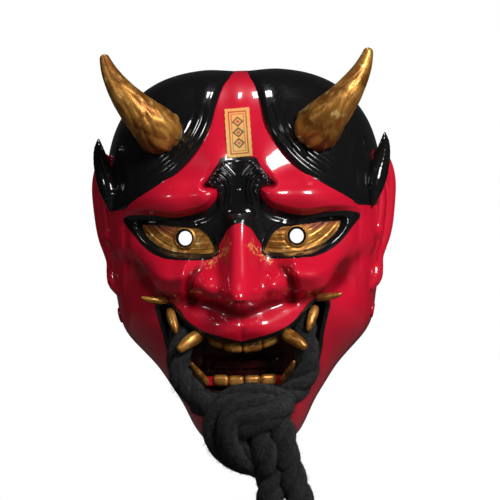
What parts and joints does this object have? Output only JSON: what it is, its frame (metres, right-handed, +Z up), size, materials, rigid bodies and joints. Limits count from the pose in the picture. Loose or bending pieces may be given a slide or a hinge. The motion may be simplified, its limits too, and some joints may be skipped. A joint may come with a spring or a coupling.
{
  "type": "demon face mask",
  "caption": "Glossy red horned demon face mask with black hair, gold eyes and teeth, sight holes and a knotted rope held in the mouth.",
  "frame": {"origin": "on the plane of the back rim, in the mirror plane, at the height where the head is widest, close to the pupils' height", "axes": "+X to the viewer's right, +Z up, +Y from the face to the wearer; the face looks along -Y"},
  "size_m": [0.1876, 0.1017, 0.3048],
  "materials": {
    "red_lacquer": "high gloss red lacquer on a cast resin shell",
    "black_lacquer": "high gloss black lacquer",
    "gold_paint": "antique gold paint with a brown wash",
    "paper": "yellow paper with a printed frame",
    "steel": "zinc plated",
    "rope": "soft black twisted cotton",
    "twine": "black waxed twine"
  },
  "bodies": {
    "mask": {"face_shell": "red_lacquer", "ear_left": "red_lacquer", "ear_right": "red_lacquer", "hair_left": "black_lacquer", "hair_right": "black_lacquer", "side_lock_left": "black_lacquer", "side_lock_right": "black_lacquer", "brow_crest": "black_lacquer", "mouth_liner": "black_lacquer", "eye_bezel_left": "black_lacquer", "eye_bezel_right": "black_lacquer", "eye_plate_left": "gold_paint", "eye_plate_right": "gold_paint", "horn_left": "gold_paint", "horn_right": "gold_paint", "upper_teeth": "gold_paint", "lower_teeth": "gold_paint", "upper_fang_left": "gold_paint", "upper_fang_right": "gold_paint", "lower_fang_left": "gold_paint", "lower_fang_right": "gold_paint", "corner_fang_left": "gold_paint", "corner_fang_right": "gold_paint", "cheek_tusk_left": "gold_paint", "cheek_tusk_right": "gold_paint", "forehead_slip": "paper", "horn_screw_left": "steel", "horn_screw_right": "steel", "strap_eyelet_left": "steel", "strap_eyelet_right": "steel", "rope_bit": "rope"},
    "knot": {"rope_leg_left": "rope", "rope_leg_right": "rope", "rope_knot": "rope"},
    "tail_left": {"rope_tail_left": "rope", "tail_whipping_left": "twine"},
    "tail_right": {"rope_tail_right": "rope", "tail_whipping_right": "twine"}
  },
  "joints": [
    {"name": "knot_lift", "type": "hinge", "parent": "mask", "child": "knot", "pos_m": [0, -0.06, -0.066], "axis": [-1, 0, 0], "range_deg": [0, 30]},
    {"name": "tail_left_swing", "type": "hinge", "parent": "knot", "child": "tail_left", "pos_m": [0.0155, -0.086, -0.138], "axis": [-1, 0, 0], "range_deg": [-25, 60]},
    {"name": "tail_right_swing", "type": "hinge", "parent": "knot", "child": "tail_right", "pos_m": [0.031, -0.086, -0.134], "axis": [-1, 0, 0], "range_deg": [-25, 60]}
  ]
}
